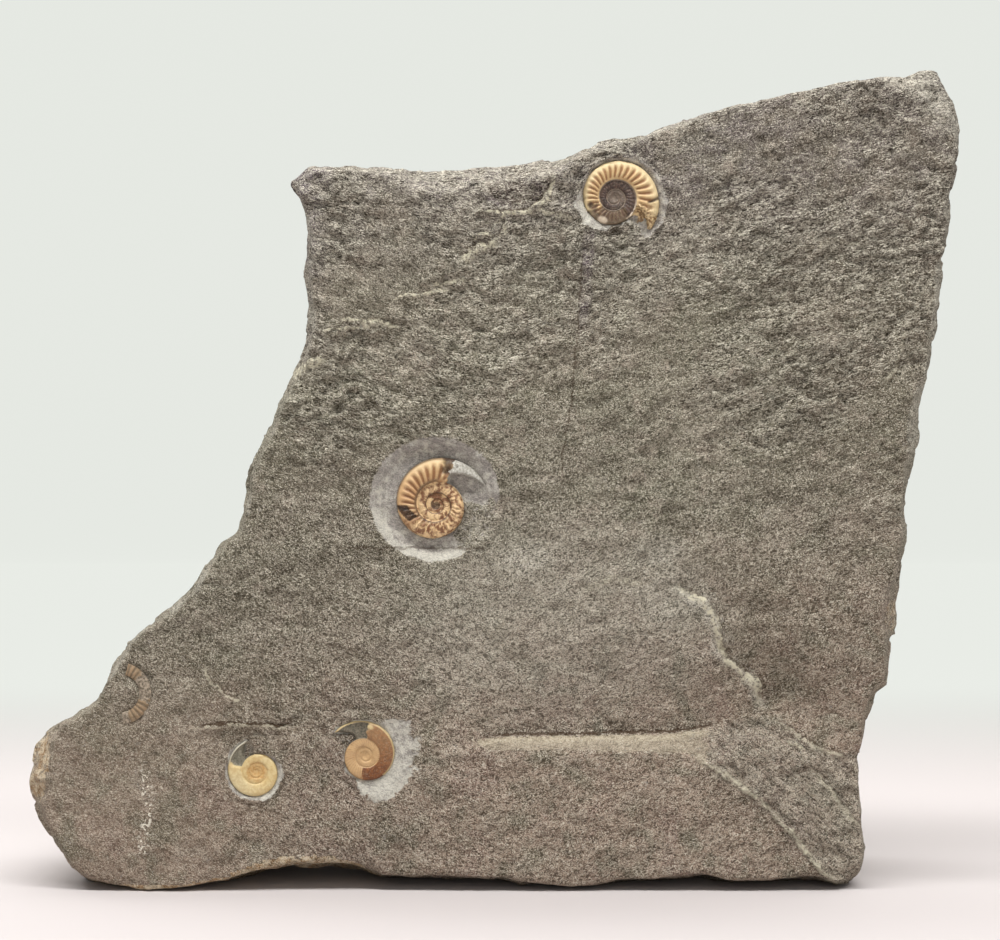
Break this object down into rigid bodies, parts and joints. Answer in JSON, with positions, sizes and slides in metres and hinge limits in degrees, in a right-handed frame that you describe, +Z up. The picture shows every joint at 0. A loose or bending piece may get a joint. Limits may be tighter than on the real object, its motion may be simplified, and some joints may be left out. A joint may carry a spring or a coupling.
{
  "type": "ammonite fossil",
  "caption": "Standing slab of grey limestone with coiled ribbed and smooth ammonites set in shallow hollows of its broken front face, resting on a flat base.",
  "frame": {"origin": "middle of the overall box, on the flat base", "axes": "+X to the right along the slab's width as seen from the front, +Y from the front face to the back, +Z up"},
  "size_m": [0.272, 0.0652, 0.24],
  "materials": {
    "stone": "rough broken limestone",
    "shell": "satin calcite shell"
  },
  "bodies": {
    "root": {"stone_slab": "stone", "ammonite_top": "shell", "ammonite_middle": "shell", "ammonite_lower_left": "shell", "ammonite_lower_middle": "shell", "ammonite_worn_edge": "shell"}
  },
  "joints": []
}
